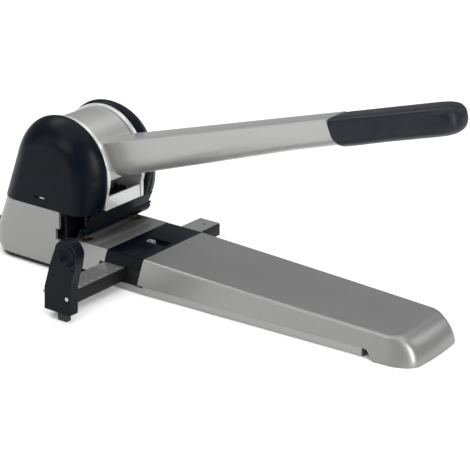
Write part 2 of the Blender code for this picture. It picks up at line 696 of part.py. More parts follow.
def make_guide(mats):
    origin = (STOP_FACE_X, BAR_Y0, 0)
    start = STOP_FACE_X + GAP
    bar = block("slide_bar", (start, BAR_Y0, 19.0), (BAR_END_X, BAR_Y1, BAR_TOP_Z), mats["steel"],
                origin)
    cut(bar, loft("bar_end_hole", [[(cx, cy, z) for cx, cy in circle(97, -51, 2.0, 12)]
                                   for z in (15, 26)], None))
    low, lip = 8.6, 1.6
    y0 = BAR_Y0 - GAP
    outline = [(y0, BAR_TOP_Z), (y0 - lip, BAR_TOP_Z), (y0 - lip, low), (BAR_Y0 + 14, low),
               (BAR_Y0 + 14, low + lip), (y0, low + lip)]
    prism("bar_trim", outline, "X", start, BAR_END_X - 2.0, mats["black"], origin)

    profile = [(-48.4, 9.3), (-49.7, 33.6), (-54.6, 47.9), (-58.9, 60.7), (-66.6, 78.6)]
    profile += [(-69.6, 83.0), (-74.0, 87.2), (-80.0, 89.0), (-87.0, 88.2), (-92.0, 84.5)]
    profile += [(-95.2, 79.0), (-95.6, 74.0), (-92.2, 61.6), (-89.2, 54.5), (-84.5, 38.3), (-83.0, 9.3)]
    arm = prism("stop_arm", profile, "X", -160.0, STOP_FACE_X, mats["slate"], origin)
    bm = bmesh.new()
    dish_radius, dish_depth = 15.0, 4.5
    bmesh.ops.create_uvsphere(bm, u_segments=24, v_segments=16, radius=dish_radius * MM)
    dish = add_object("thumb_dish", bm, None)
    dish.location = [c * MM for c in (-160.0 - dish_radius + dish_depth, -82.0, 73.0)]
    cut(arm, dish)
    block("stop_foot", (-158, -76, 0), (-151, -64, 9.0), mats["rubber"], origin)
    rings = [[(x, cy, cz) for cy, cz in circle(-80.0, 27.0, 2.2, 14)] for x in (-161.2, -160.3)]
    loft("stop_arm_screw", rings, mats["steel"], origin)


def main():
    clear_scene()
    mats = {
        "silver": material("silver_lacquer", (0.52, 0.52, 0.51), 0.34, 0.75),
        "pale": material("pale_lacquer", (0.60, 0.60, 0.59), 0.34, 0.70),
        "sheet": material("plated_sheet", (0.35, 0.35, 0.34), 0.40, 0.9),
        "dark_steel": material("blackened_steel", (0.03, 0.03, 0.033), 0.38, 1.0),
        "rim": material("bright_rim", (0.72, 0.73, 0.71), 0.28, 0.85),
        "steel": material("bright_steel", (0.60, 0.60, 0.60), 0.25, 1.0),
        "bronze": material("sintered_bronze", (0.45, 0.30, 0.16), 0.40, 1.0),
        "slate": material("slate_plastic", (0.018, 0.022, 0.030), 0.38, 0.0),
        "black": material("black_plastic", (0.010, 0.010, 0.012), 0.50, 0.0),
        "rubber": material("black_rubber", (0.012, 0.012, 0.012), 0.80, 0.0),
        "clear": material("clear_lens", (0.75, 0.80, 0.82), 0.08, 0.0),
    }
    pivot = (0, PIVOT_Y, PIVOT_Z)
    make_foot(mats)
    make_base(mats)
    make_head_housing(mats)
    make_back_stop(mats)
    make_frame_plates(mats)
    make_caps(mats)
    make_drum(mats, pivot)
    make_cranks(mats, pivot)
    make_punches(mats)
    make_lever(mats, pivot)
    make_presser(mats)
    make_slot_guard(mats)
    make_guide(mats)


main()
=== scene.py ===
"""Looks of the heavy-duty two-hole punch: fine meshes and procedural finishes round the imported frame.

Lengths are in millimetres and multiplied by MM. +Z is up, -Y is the front (foot tip and grip),
-X is the side of the paper guide's stop arm.
"""
import json
from math import asin, atan2, cos, hypot, pi, radians, sin, sqrt

import bmesh
import bpy
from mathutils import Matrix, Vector


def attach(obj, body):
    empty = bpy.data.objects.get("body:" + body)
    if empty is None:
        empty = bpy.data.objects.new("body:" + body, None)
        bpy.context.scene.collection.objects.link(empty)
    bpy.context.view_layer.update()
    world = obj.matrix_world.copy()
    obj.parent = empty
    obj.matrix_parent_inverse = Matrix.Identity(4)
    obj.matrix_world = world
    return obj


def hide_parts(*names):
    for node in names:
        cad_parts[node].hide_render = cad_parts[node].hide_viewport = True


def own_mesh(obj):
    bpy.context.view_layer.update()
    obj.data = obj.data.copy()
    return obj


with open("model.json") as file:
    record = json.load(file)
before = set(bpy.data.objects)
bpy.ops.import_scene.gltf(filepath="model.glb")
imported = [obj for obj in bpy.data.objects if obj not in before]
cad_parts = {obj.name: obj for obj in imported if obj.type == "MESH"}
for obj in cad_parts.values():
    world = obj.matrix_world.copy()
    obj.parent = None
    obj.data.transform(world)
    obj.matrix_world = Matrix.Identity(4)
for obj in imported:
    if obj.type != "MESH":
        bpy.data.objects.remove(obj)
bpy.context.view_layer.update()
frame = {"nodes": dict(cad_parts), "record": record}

MM = 0.001
nodes = frame["nodes"]

# Sizes shared with the CAD model
PIVOT_Y, PIVOT_Z = 35.0, 104.5
PUNCH_X = 40.0
JAW_Z = 68.0
TABLE_Z = 35.0
SKIRT_Z = 10.0
FLOOR_Z1 = 6.0
DRUM_RADIUS = 55.5
DRUM_HALF = 25.4
PLATE_IN, PLATE_OUT = 26.0, 31.0
PLATE_RADIUS = 58.2
PLATE_REAR_Y = 97.0
CAP_RADIUS = 60.8
CAP_DROP = 72.0
CAP_REAR_Y = 112.6
CAP_WALL = 2.5
REAR_CORNER = 30.0
TRAY_REAR_Y = 109.0
FOOT_REAR_Y = -86.1
FOOT_TIP_Y = -387.0
FOOT_TOE_Y = -411.2
FOOT_SIDE_END_Y = -378.0
FOOT_LENGTH = 301.0
FOOT_CROWN = 1.5
ARM_LENGTH = 281.0
LEVER_RISE = 0.2755
LEVER_LEAN = 0.262
GRIP_START_Y = -288.0
GRIP_EDGE_LEAN = 0.42
PRESSER_HALF = 58.0
PRESSER_Y, PRESSER_Z = 8.0, 51.6
PRESSER_RADIUS = 15.0
STOP_FACE_X = -148.5
BAR_START_X, BAR_END_X = -148.2, 110.0
BAR_Y0, BAR_Y1 = -63.0, -35.5
BAR_TOP_Z = 22.0
GAP = 0.3


# ------------------------------------------------------------------ node helpers

def new_material(name, slot_color, rough, metallic=0.0, **sockets):
    """A Principled material; extra sockets are given by name with spaces as underscores."""
    mat = bpy.data.materials.new(name)
    mat.use_nodes = True
    shader = mat.node_tree.nodes["Principled BSDF"]
    shader.inputs["Base Color"].default_value = (*slot_color, 1.0)
    shader.inputs["Roughness"].default_value = rough
    shader.inputs["Metallic"].default_value = metallic
    for key, value in sockets.items():
        shader.inputs[key.replace("_", " ")].default_value = value
    return mat


def object_coords(mat, scale=(1, 1, 1)):
    tree = mat.node_tree
    coords = tree.nodes.new("ShaderNodeTexCoord")
    mapping = tree.nodes.new("ShaderNodeMapping")
    mapping.inputs["Scale"].default_value = scale
    tree.links.new(coords.outputs["Object"], mapping.inputs["Vector"])
    return mapping.outputs["Vector"]


def noise(mat, vector, scale, detail=4.0, rough=0.55):
    node = mat.node_tree.nodes.new("ShaderNodeTexNoise")
    node.inputs["Scale"].default_value = scale
    node.inputs["Detail"].default_value = detail
    node.inputs["Roughness"].default_value = rough
    mat.node_tree.links.new(vector, node.inputs["Vector"])
    return node.outputs["Fac"]


def ramp(mat, source, stops):
    """Colour ramp; stops are (position, rgb)."""
    node = mat.node_tree.nodes.new("ShaderNodeValToRGB")
    band = node.color_ramp
    while len(band.elements) < len(stops):
        band.elements.new(0.5)
    for element, (where, color) in zip(band.elements, stops):
        element.position = where
        element.color = (*color, 1.0)
    mat.node_tree.links.new(source, node.inputs["Fac"])
    return node.outputs["Color"]


def map_range(mat, source, low, high, from_low=0.3, from_high=0.7):
    node = mat.node_tree.nodes.new("ShaderNodeMapRange")
    node.inputs["From Min"].default_value = from_low
    node.inputs["From Max"].default_value = from_high
    node.inputs["To Min"].default_value = low
    node.inputs["To Max"].default_value = high
    mat.node_tree.links.new(source, node.inputs["Value"])
    return node.outputs["Result"]


def set_bump(mat, height, strength, distance):
    tree = mat.node_tree
    bump = tree.nodes.new("ShaderNodeBump")
    bump.inputs["Strength"].default_value = strength
    bump.inputs["Distance"].default_value = distance
    tree.links.new(height, bump.inputs["Height"])
    tree.links.new(bump.outputs["Normal"], tree.nodes["Principled BSDF"].inputs["Normal"])


def set_input(mat, socket, source):
    mat.node_tree.links.new(source, mat.node_tree.nodes["Principled BSDF"].inputs[socket])


def lacquer(name, dark, light, rough, metallic):
    """Silver lacquer: fine metal flake, slow tone drift and a faint orange peel."""
    mat = new_material(name, light, rough, metallic, Coat_Weight=0.22, Coat_Roughness=0.18)
    vector = object_coords(mat)
    flake = noise(mat, vector, 2600.0, 2.0, 0.7)
    set_input(mat, "Base Color", ramp(mat, flake, [(0.25, dark), (0.75, light)]))
    drift = noise(mat, vector, 22.0, 3.0)
    set_input(mat, "Roughness", map_range(mat, drift, rough - 0.03, rough + 0.04))
    set_bump(mat, noise(mat, vector, 900.0, 2.0), 0.10, 0.0001)
    return mat


def plastic(name, dark, light, rough, grain_scale, grain_depth, **sockets):
    """Moulded plastic: spark-eroded grain and slightly polished high spots."""
    mat = new_material(name, light, rough, 0.0, **sockets)
    vector = object_coords(mat)
    tone = noise(mat, vector, 60.0, 5.0)
    set_input(mat, "Base Color", ramp(mat, tone, [(0.3, dark), (0.7, light)]))
    wear = noise(mat, vector, 35.0, 6.0, 0.65)
    set_input(mat, "Roughness", map_range(mat, wear, rough - 0.05, rough + 0.07))
    set_bump(mat, noise(mat, vector, grain_scale, 3.0, 0.6), 0.25, grain_depth)
    return mat


def brushed(name, dark, light, rough, scale, metallic=1.0):
    """Ground steel: fine lines along one axis, with a few deeper marks."""
    mat = new_material(name, light, rough, metallic)
    vector = object_coords(mat, scale)
    lines = noise(mat, vector, 60.0, 5.0, 0.6)
    set_input(mat, "Base Color", ramp(mat, lines, [(0.3, dark), (0.7, light)]))
    set_input(mat, "Roughness", map_range(mat, lines, rough - 0.07, rough + 0.10))
    set_bump(mat, lines, 0.08, 0.00003)
    return mat


def make_materials():
    """Finishes by slot name."""
    coarse, across = (20, 20, 20), (1, 30, 30)
    finishes = [
        lacquer("silver_lacquer", (0.19, 0.19, 0.186), (0.25, 0.25, 0.243), 0.38, 0.60),
        lacquer("pale_lacquer", (0.28, 0.28, 0.272), (0.37, 0.37, 0.36), 0.38, 0.55),
        lacquer("plated_sheet", (0.24, 0.24, 0.235), (0.34, 0.34, 0.33), 0.42, 0.70),
        lacquer("bright_rim", (0.50, 0.51, 0.495), (0.60, 0.61, 0.595), 0.28, 0.45),
        brushed("bright_steel", (0.36, 0.36, 0.355), (0.46, 0.46, 0.455), 0.20, across, 0.75),
        brushed("blackened_steel", (0.015, 0.015, 0.017), (0.030, 0.030, 0.033), 0.38, across),
        brushed("sintered_bronze", (0.10, 0.070, 0.042), (0.17, 0.115, 0.065), 0.42, coarse),
        plastic("slate_plastic", (0.0010, 0.0018, 0.0040), (0.0020, 0.0034, 0.007), 0.32,
                1400.0, 0.00008, Specular_IOR_Level=0.08),
        plastic("grip_plastic", (0.004, 0.005, 0.009), (0.008, 0.010, 0.016), 0.40,
                1800.0, 0.00012, Specular_IOR_Level=0.20),
        plastic("black_plastic", (0.003, 0.003, 0.004), (0.006, 0.006, 0.007), 0.46,
                1500.0, 0.00012, Specular_IOR_Level=0.18),
        plastic("black_rubber", (0.008, 0.008, 0.008), (0.018, 0.018, 0.018), 0.78, 700.0, 0.0003),
        new_material("clear_lens", (0.82, 0.88, 0.90), 0.06, 0.0, IOR=1.49,
                     Transmission_Weight=0.85),
    ]
    return {mat.name.split(".")[0]: mat for mat in finishes}


# ------------------------------------------------------------------ mesh helpers

def add_mesh(name, bm, mat, angle=35.0):
    bmesh.ops.recalc_face_normals(bm, faces=bm.faces)
    mesh = bpy.data.meshes.new(name)
    bm.to_mesh(mesh)
    bm.free()
    mesh.shade_smooth()
    mesh.set_sharp_from_angle(angle=radians(angle))
    mesh.materials.append(mat)
    obj = bpy.data.objects.new(name, mesh)
    bpy.context.scene.collection.objects.link(obj)
    return obj


def skin(bm, rings):
    """Closed rings of points in millimetres joined by quads; returns the vertex rows."""
    rows = [[bm.verts.new([c * MM for c in p]) for p in ring] for ring in rings]
    count = len(rows[0])
    for low, high in zip(rows, rows[1:]):
        for i in range(count):
            j = (i + 1) % count
            bm.faces.new((low[i], low[j], high[j], high[i]))
    return rows


def loft(name, rings, mat, angle=35.0, caps=(True, True)):
    bm = bmesh.new()
    rows = skin(bm, rings)
    for cap, row in zip(caps, (rows[0], rows[-1])):
        if cap:
            bm.faces.new(row)
    return add_mesh(name, bm, mat, angle)


def shell(name, outer, inner, mat, angle=35.0):
    """A cup: outer and inner rings run from the open rim to the closed end."""
    bm = bmesh.new()
    rows_out = skin(bm, outer)
    rows_in = skin(bm, inner)
    bm.faces.new(rows_out[-1])
    bm.faces.new(rows_in[-1])
    rim_out, rim_in = rows_out[0], rows_in[0]
    for i in range(len(rim_out)):
        j = (i + 1) % len(rim_out)
        bm.faces.new((rim_out[i], rim_out[j], rim_in[j], rim_in[i]))
    return add_mesh(name, bm, mat, angle)


def arc(cy, cz, radius, start, end, steps):
    return [(cy + radius * cos(radians(start + (end - start) * i / steps)),
             cz + radius * sin(radians(start + (end - start) * i / steps)))
            for i in range(steps + 1)]


def smooth_table(table, x):
    """Smooth curve through a short table of (x, value, ...) rows, by Catmull-Rom."""
    xs = [row[0] for row in table]
    k = 0
    while k < len(xs) - 2 and x > xs[k + 1]:
        k += 1
    t = (x - xs[k]) / (xs[k + 1] - xs[k])
    values = []
    for column in range(1, len(table[0])):
        v = [table[min(max(i, 0), len(xs) - 1)][column] for i in (k - 1, k, k + 1, k + 2)]
        values.append(0.5 * (2 * v[1] + (v[2] - v[0]) * t
                             + (2 * v[0] - 5 * v[1] + 4 * v[2] - v[3]) * t ** 2
                             + (3 * v[1] - v[0] - 3 * v[2] + v[3]) * t ** 3))
    return values if len(values) > 1 else values[0]


def steps(low, high, count):
    return [low + (high - low) * i / count for i in range(count + 1)]


def bevelled(node, width, body, mat, segments=3, angle=30.0, name=None):
    """A fine copy of a CAD piece: flat faces joined up and every hard edge rounded."""
    source = nodes[node]
    bm = bmesh.new()
    bm.from_mesh(source.data)
    bmesh.ops.remove_doubles(bm, verts=bm.verts, dist=0.00001)
    bmesh.ops.dissolve_limit(bm, angle_limit=radians(0.6), verts=bm.verts, edges=bm.edges)
    mesh = bpy.data.meshes.new(name or node + "_fine")
    bm.to_mesh(mesh)
    bm.free()
    mesh.shade_smooth()
    mesh.materials.clear()
    mesh.materials.append(mat)
    obj = bpy.data.objects.new(name or node + "_fine", mesh)
    bpy.context.scene.collection.objects.link(obj)
    bevel = obj.modifiers.new("edges", "BEVEL")
    bevel.width = width * MM
    bevel.segments = segments
    bevel.limit_method = "ANGLE"
    bevel.angle_limit = radians(angle)
    bevel.harden_normals = True
    finish_piece(obj, body, node)
    return obj


def finish_piece(obj, body, *replaced):
    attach(obj, body)
    if replaced:
        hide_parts(*replaced)


def carve(obj, cutters, angle=35.0):
    """Cut closed shapes out of a piece and keep the result as its mesh."""
    for cutter in cutters:
        mod = obj.modifiers.new("cut", "BOOLEAN")
        mod.operation = "DIFFERENCE"
        mod.solver = "EXACT"
        mod.object = cutter
    graph = bpy.context.evaluated_depsgraph_get()
    mesh = bpy.data.meshes.new_from_object(obj.evaluated_get(graph))
    obj.modifiers.clear()
    mesh.set_sharp_from_angle(angle=radians(angle))
    obj.data = mesh
    for cutter in cutters:
        bpy.data.objects.remove(cutter, do_unlink=True)


def round_edges(obj, width, angle=40.0, segments=3):
    bevel = obj.modifiers.new("edges", "BEVEL")
    bevel.width = width * MM
    bevel.segments = segments
    bevel.limit_method = "ANGLE"
    bevel.angle_limit = radians(angle)
    bevel.harden_normals = True


def prism(name, outline, axis, low, high, mat, angle=35.0):
    """An outline pushed along an axis; outline points are the other two coordinates in order."""
    def lift(a, b, t):
        return {"X": (t, a, b), "Y": (a, t, b), "Z": (a, b, t)}[axis]
    return loft(name, [[lift(a, b, t) for a, b in outline] for t in (low, high)], mat, angle)


def block(name, low, high, mat):
    outline = [(low[0], low[1]), (high[0], low[1]), (high[0], high[1]), (low[0], high[1])]
    return prism(name, outline, "Z", low[2], high[2], mat)


def circle(ca, cb, radius, sides=48):
    return [(ca + radius * cos(2 * pi * i / sides), cb + radius * sin(2 * pi * i / sides))
            for i in range(sides)]


def slot_outline(ca, cb, length, width, steps_round=12):
    """A slot with round ends, long side along the first coordinate."""
    reach = (length - width) / 2
    return (arc(ca + reach, cb, width / 2, -90, 90, steps_round)
            + arc(ca - reach, cb, width / 2, 90, 270, steps_round))


# ------------------------------------------------------------------ foot and base

def table_height(y):
    return TABLE_Z + min(0.0, (y + 86.0) * 8.0 / FOOT_LENGTH)


def taper(y):
    return max(0.0, (FOOT_REAR_Y - y) / FOOT_LENGTH)


def ease(t):
    t = min(1.0, max(0.0, t))
    return t * t * (3 - 2 * t)


def half_width_top(y):
    return 50.0 - 3.5 * taper(y) - 4.4 * taper(y) ** 2


def half_width_floor(y):
    return 65.5 - 13.0 * taper(y) - 4.5 * taper(y) ** 2 + 1.5 * ease((-320.0 - y) / 60.0)


def side_half_width(y, z):
    top = table_height(y)
    return half_width_top(y) + (half_width_floor(y) - half_width_top(y)) * (top - z) / top


def skirt_height(y):
    return SKIRT_Z * (1.0 - ease((-358.0 - y) / 12.0))


def foot_ring(u):
    """Plan ring of the foot, from the skirt (u = 0) over the rolled edge to the top (u = 1)."""
    roll, turn_at = 2.6, 0.75
    over = radians(90 * max(0.0, u - turn_at) / (1 - turn_at))
    share, inset, drop = min(1.0, u / turn_at), roll * (1 - cos(over)), roll * (1 - sin(over))
    ring = []
    stations = steps(FOOT_REAR_Y, -350.0, 40) + steps(-352.0, -372.0, 40)
    for y in stations + [-374.0, -376.0, FOOT_SIDE_END_Y]:
        low = skirt_height(y)
        z = low + (table_height(y) - drop - low) * share
        ring.append((side_half_width(y, z) - inset, y, z))
    half, side_z = ring[-1][0], ring[-1][2]
    front = radians(90 * u)
    toe = FOOT_TOE_Y + (FOOT_TIP_Y - FOOT_TOE_Y) * (1 - cos(front)) ** 0.9
    front_z = table_height(FOOT_TIP_Y) * sin(front)
    depth = FOOT_SIDE_END_Y - toe - FOOT_CROWN
    corner = 20.0 - 9.0 * u
    for angle in steps(0, 90, 28)[1:]:
        turn = radians(angle)
        z = side_z + (front_z - side_z) * sin(turn) ** 2
        ring.append((half - corner * (1 - cos(turn)), FOOT_SIDE_END_Y - depth * sin(turn), z))
    for i in range(1, 13):
        x = (half - corner) * (1 - i / 12)
        ring.append((x, toe + FOOT_CROWN * (x / (half - corner)) ** 2, front_z))
    return ring + [(-x, y, z) for x, y, z in reversed(ring[:-1])]


def make_foot(mats):
    outer = [foot_ring(u) for u in steps(0.0, 1.0, 56)]
    inner = [[(x * 0.955, y if y > -380 else y + 2.4, z) for x, y, z in foot_ring(u)]
             for u in (0.0, 0.4, 0.7)]
    foot = shell("foot_shell_fine", outer, inner, mats["silver_lacquer"], 50.0)
    finish_piece(foot, "base", "foot_shell")


def make_base(mats):
    silver, slate, black = (mats[k] for k in ("silver_lacquer", "slate_plastic", "black_plastic"))
    bevelled("base_shell", 1.4, "base", silver, 4)
    bevelled("guide_cover_plate", 1.1, "base", slate, 4)
    bevelled("guide_housing", 0.5, "base", black)
    bevelled("base_pan", 0.5, "base", mats["plated_sheet"], 3, 60.0)
    bevelled("head_floor", 0.5, "base", black, 3, 60.0)
    bevelled("die_plate", 0.3, "base", silver, 2, 60.0)
    bevelled("back_stop", 0.4, "base", slate)
    bevelled("slot_guard", 0.4, "base", slate)
    bevelled("chip_tray", 0.5, "chip_drawer", black)
    for name in ("rear_mat", "front_mat"):
        bevelled(name, 0.5, "base", mats["black_rubber"])
    bevelled("indicator_lens", 0.6, "base", mats["clear_lens"], 4)
    make_pan_screws(mats)


def make_pan_screws(mats):
    """Pan-head screws with a cross recess, seen from below."""
    for i, (x, y) in enumerate([(-38, -300), (38, -300), (-53, -20), (53, -20)]):
        rings = [[(a, b, z) for a, b in circle(x, y, r)]
                 for r, z in ((3.5, 1.7), (3.5, 1.1), (3.2, 0.75), (2.4, 0.52), (1.2, 0.5))]
        screw = loft(f"pan_screw_{i + 1}_fine", rings, mats["bright_steel"])
        carve(screw, [block("cross", (x - a, y - b, 0.3), (x + a, y + b, 1.1), mats["bright_steel"])
                      for a, b in ((1.8, 0.3), (0.3, 1.8))])
        finish_piece(screw, "base", f"pan_screw_{i + 1}")


# ------------------------------------------------------------------ head

HOUSING_REAR = [(4.0, 119.0), (8.0, 123.5), (13.0, 126.3), (20.0, 127.0), (28.0, 126.2), (36.0, 123.8),
                (48.0, 119.2), (60.0, 114.6), (JAW_Z, CAP_REAR_Y - 0.6)]


def housing_path(z, inset, corner_steps=24):
    half = 63.0 + (JAW_Z - z) * 0.055 - inset
    rear = smooth_table(HOUSING_REAR, z) - inset
    corner = REAR_CORNER - inset
    path = [(half, y) for y in steps(18.8, rear - corner, 16)[:-1]]
    path += [(a, b) for a, b in arc(half - corner, rear - corner, corner, 0, 90, corner_steps)]
    return path + [(-x, y) for x, y in reversed(path)]


def make_head_housing(mats):
    silver = mats["silver_lacquer"]
    rings = []
    for z in steps(FLOOR_Z1 + GAP, JAW_Z - GAP, 30):
        outer = [(x, y, z) for x, y in housing_path(z, 0.0)]
        inner = [(x, y, z) for x, y in housing_path(z, 3.0)]
        rings.append(outer + list(reversed(inner)))
    house = loft("head_housing_fine", rings, silver)
    carve(house, [block("mouth", (-50, 80, 0), (50, 150, 37), silver),
                  block("notch", (-80, 10, 37), (80, 23.5, 49), silver)])
    round_edges(house, 0.7, 50.0)
    finish_piece(house, "base", "head_housing")

    path = [(x, y) for x, y in housing_path(24, 0.4, 40) if abs(x) < 49.9 and y > 60]
    front_y = TRAY_REAR_Y + 0.4
    outline = path + [(-49.4, front_y), (49.4, front_y)]
    front = prism("tray_front_fine", outline, "Z", 6.4, 36.6, mats["black_plastic"])
    pull = prism("pull", slot_outline(0, 13.0, 44.0, 9.0), "Y", 121.0, 140.0, mats["black_plastic"])
    carve(front, [pull])
    round_edges(front, 0.8, 40.0)
    finish_piece(front, "chip_drawer", "tray_front")


def touch_angle(radius, rear_y, low_z):
    dy, dz = rear_y - PIVOT_Y, low_z - PIVOT_Z
    turn = asin(min(1.0, radius / hypot(dy, dz)))
    return (atan2(dz, dy) + pi / 2 - turn) * 180 / pi


def cap_radius(x):
    """Arch radius of the domed cap: a rolled lip beside the plate, then the dome."""
    if x < 37.0:
        left = 1.0 - (x - 31.5) / 5.5
        return CAP_RADIUS - 2.2 * left ** 2
    t = min(1.0, (x - 37.0) / 26.6)
    return CAP_RADIUS - 27.8 * (1.0 - sqrt(1.0 - t * t)) ** 0.72


def cap_low_radius(x):
    """The same at the lower edge, where the dome has become a box with round corners."""
    corner, start = 22.0, 41.4
    if x <= start:
        return cap_radius(x)
    return CAP_RADIUS - corner + sqrt(corner ** 2 - min(x - start, corner) ** 2)


def cap_outline(x, inset, low_z, fine=72):
    radius = cap_radius(x) - inset
    fuller = max(0.0, cap_low_radius(x) - cap_radius(x))
    beyond = min(max(0.0, x - 33.4), REAR_CORNER)
    rear_y = CAP_REAR_Y - inset - REAR_CORNER + sqrt(REAR_CORNER ** 2 - beyond ** 2)
    touch = touch_angle(radius, rear_y, low_z)
    start = (PIVOT_Y + radius * cos(radians(touch)), PIVOT_Z + radius * sin(radians(touch)))
    points = [(rear_y + (start[0] - rear_y) * t, low_z + (start[1] - low_z) * t)
              for t in steps(0, 1, 16)[:-1]]
    points += arc(PIVOT_Y, PIVOT_Z, radius, touch, 180, fine)
    low = asin((PIVOT_Z - low_z) / CAP_DROP)
    for share in steps(0, 1, 28)[1:]:
        reach = radius + fuller * share ** 0.7
        points.append((PIVOT_Y - reach * cos(low * share), PIVOT_Z - CAP_DROP * sin(low * share)))
    front_y = points[-1][0]
    points += [(front_y + (rear_y - front_y) * t, low_z) for t in steps(0, 1, 16)[1:-1]]
    return points


def make_caps(mats):
    slate = mats["slate_plastic"]
    stations = [31.5, 31.8, 32.3, 33.0, 34.0, 35.4] + steps(37.0, 60.0, 23)
    stations += [60.8, 61.5, 62.1, 62.6, 63.0, 63.3]
    for side, word in ((-1, "left"), (1, "right")):
        outer = [[(side * x, y, z) for y, z in cap_outline(x, 0.0, JAW_Z)] for x in stations]
        for inset in (0.7, 2.0, 6.0):
            outer.append([(side * (63.4 + 0.02 * inset), y, z)
                          for y, z in cap_outline(63.4, inset, JAW_Z)])
        inner = [[(side * min(x, 61.0), y, z)
                  for y, z in cap_outline(x, CAP_WALL, JAW_Z + CAP_WALL)] for x in stations[:-3:3]]
        cap = shell(f"cap_{word}_fine", outer, inner, slate, 40.0)
        latch = prism("latch", slot_outline(45.5, 78.5, 16.0, 2.6), "X",
                      *sorted((side * 62.2, side * 66.0)), slate)
        bore = circle(side * PUNCH_X, 0, 6.3)
        hole = loft("hole", [[(a, b, z) for a, b in bore] for z in (60, 75)], slate)
        carve(cap, [latch, hole], 40.0)
        finish_piece(cap, "base", f"cap_{word}")
        pin = prism(f"cap_latch_{word}", slot_outline(43.0, 78.5, 7.0, 1.5), "X",
                    *sorted((side * 61.6, side * 62.9)), mats["bright_steel"])
        round_edges(pin, 0.3)
        finish_piece(pin, "base")
        # painted shade: a black sheet on the cap lip stands for the finger recess
        make_recess_shade_patch(side, word, mats)


def make_recess_shade_patch(side, word, mats):
    """Painted shade: a thin black sheet laid on the lip of the cap, low at the front, standing for the
    shaded inside of the pointed finger recess.
    """
    bm = bmesh.new()
    rows = []
    for v in steps(0.0, 1.0, 24):
        z = 70.5 + 25.0 * v
        turn = asin((PIVOT_Z - z) / CAP_DROP)
        width = 6.4 * (1 - v) ** 0.75 * min(1.0, 0.55 + 4.0 * v)
        row = []
        for u in steps(0.0, 1.0, 8):
            x = 31.9 + width * u + 1.5 * v
            y = PIVOT_Y - (cap_radius(x) + 0.2) * cos(turn)
            row.append(bm.verts.new((side * x * MM, y * MM, z * MM)))
        rows.append(row)
    for low, high in zip(rows, rows[1:]):
        for i in range(len(low) - 1):
            bm.faces.new((low[i], low[i + 1], high[i + 1], high[i]))
    # the black sheet is painted shade for the inside of the recess; the cap is not cut here
    patch = add_mesh(f"cap_recess_shade_{word}", bm, mats["black_plastic"])
    thick = patch.modifiers.new("thick", "SOLIDIFY")
    thick.thickness = 0.3 * MM
    finish_piece(patch, "base")


def make_frame(mats):
    rim, pale = mats["bright_rim"], mats["pale_lacquer"]
    touch = touch_angle(PLATE_RADIUS, PLATE_REAR_Y, JAW_Z)
    outline = arc(PIVOT_Y, PIVOT_Z, PLATE_RADIUS, touch, 198.5, 120)
    slot_front_y, slot_back_y = -19.5, 15.6
    outline += [(slot_front_y, JAW_Z), (slot_back_y, JAW_Z), (slot_back_y, TABLE_Z + GAP),
                (PLATE_REAR_Y - 4.0, TABLE_Z + GAP), (PLATE_REAR_Y, JAW_Z)]
    for side, word in ((-1, "left"), (1, "right")):
        low, high = sorted((side * PLATE_IN, side * PLATE_OUT))
        plate = prism(f"frame_plate_{word}_fine", outline, "X", low, high, rim)
        carve(plate, [prism("bore", circle(PIVOT_Y, PIVOT_Z, 12.3), "X", low - 2, high + 2, rim)])
        round_edges(plate, 0.7, 50.0)
        finish_piece(plate, "base", f"frame_plate_{word}")
    bevelled("front_cross_plate", 0.6, "base", rim, 4)
    rear = arc(PIVOT_Y, PIVOT_Z, PLATE_RADIUS, 24, touch, 24)
    rear += [(PLATE_REAR_Y, JAW_Z), (PLATE_REAR_Y - 2.6, JAW_Z)]
    rear += arc(PIVOT_Y, PIVOT_Z, DRUM_RADIUS + 0.5, touch, 24, 24)
    span = PLATE_IN - GAP
    cover = prism("rear_cover_fine", rear, "X", -span, span, pale, 50.0)
    round_edges(cover, 0.4, 50.0)
    finish_piece(cover, "base", "rear_cover")


def make_bush(node, center, axis, inner, outer, low, high, mats):
    """A sintered bush with chamfered mouths."""
    chamfer = 0.4
    profile = [(inner + chamfer, low), (outer - chamfer, low), (outer, low + chamfer),
               (outer, high - chamfer), (outer - chamfer, high), (inner + chamfer, high),
               (inner, high - chamfer), (inner, low + chamfer)]
    bm = bmesh.new()
    rings = [[(along, a, b) if axis == "X" else (a, b, along) for a, b in circle(*center, radius)]
             for radius, along in profile]
    skin(bm, rings + rings[:1])
    bmesh.ops.remove_doubles(bm, verts=bm.verts, dist=0.000001)
    bush = add_mesh(f"{node}_fine", bm, mats["sintered_bronze"])
    finish_piece(bush, "base", node)


def make_bushes(mats):
    for side, word in ((-1, "left"), (1, "right")):
        low, high = sorted((side * (PLATE_IN - 0.2), side * (PLATE_OUT + 0.2)))
        make_bush(f"axle_bush_{word}", (PIVOT_Y, PIVOT_Z), "X", 8.3, 12.0, low, high, mats)
        punch = (side * PUNCH_X, 0)
        make_bush(f"die_bush_{word}", punch, "Z", 3.2, 6.0, 29.5, TABLE_Z - 0.1, mats)
        make_bush(f"punch_guide_{word}", punch, "Z", 3.2, 6.0, JAW_Z, 79.0, mats)


# ------------------------------------------------------------------ lever and drive

def lever_top(y):
    return 145.5 + LEVER_RISE * (-30.0 - y)


def lever_section(y, half, depth, lean, drop=0.0, corner=2.2):
    """Crowned top, rounded shoulders, upright flanks, deep round belly."""
    top = lever_top(y)
    points = [(x, top + 0.25 * (1 - (x / half) ** 2)) for x in steps(0, half - corner, 6)]
    points += [(half - corner + corner * cos(radians(a)), top - corner + corner * sin(radians(a)))
               for a in steps(80, 0, 7)]
    for angle in steps(0, 90, 18):
        turn = radians(angle)
        points.append((half * cos(turn), top - depth * 0.5 - depth * 0.5 * sin(turn)))
    points += [(-x, z) for x, z in reversed(points[1:-1])]
    return [(x, y + (z - top) * lean, z - drop) for x, z in points]


